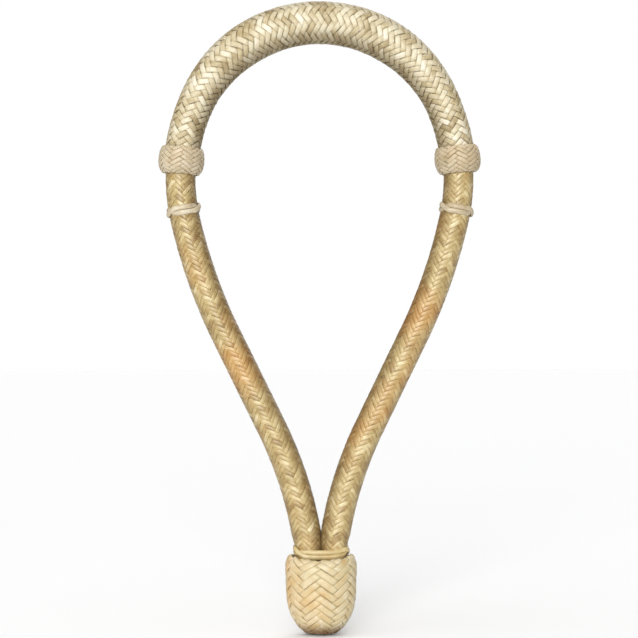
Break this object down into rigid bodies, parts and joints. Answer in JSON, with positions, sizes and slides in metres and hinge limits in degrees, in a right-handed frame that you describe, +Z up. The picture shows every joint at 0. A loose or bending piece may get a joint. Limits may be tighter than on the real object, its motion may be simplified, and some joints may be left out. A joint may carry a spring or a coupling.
{
  "type": "bosal noseband",
  "caption": "Braided rawhide noseband loop for a hackamore, with a swelled nose button, side buttons, ring knots and a heel knot that weights the bottom.",
  "frame": {"origin": "middle of the lowest point of the heel knot", "axes": "+Z up from the heel knot to the nose, +X to the wearer loop's right as seen from the front, thickness along Y"},
  "size_m": [0.1774, 0.0314, 0.3482],
  "materials": {
    "cheek_braid": "polished rawhide, golden",
    "nose_braid": "satin rawhide, cream",
    "knot_rawhide": "satin rawhide, pale cream",
    "core_rawhide": "raw, unfinished rawhide",
    "waxed_thread": "waxed linen thread"
  },
  "bodies": {
    "root": {"body_braid": "cheek_braid", "nose_button": "nose_braid", "core": "core_rawhide", "nose_swell": "core_rawhide", "nose_whipping_right": "waxed_thread", "nose_whipping_left": "waxed_thread", "side_pad_right": "core_rawhide", "side_pad_left": "core_rawhide", "side_button_right": "knot_rawhide", "side_button_left": "knot_rawhide", "ring_knot_right": "knot_rawhide", "ring_knot_left": "knot_rawhide", "heel_tie": "waxed_thread", "heel_filler_front": "core_rawhide", "heel_filler_back": "core_rawhide", "heel_knot": "knot_rawhide", "heel_collar": "knot_rawhide"}
  },
  "joints": []
}
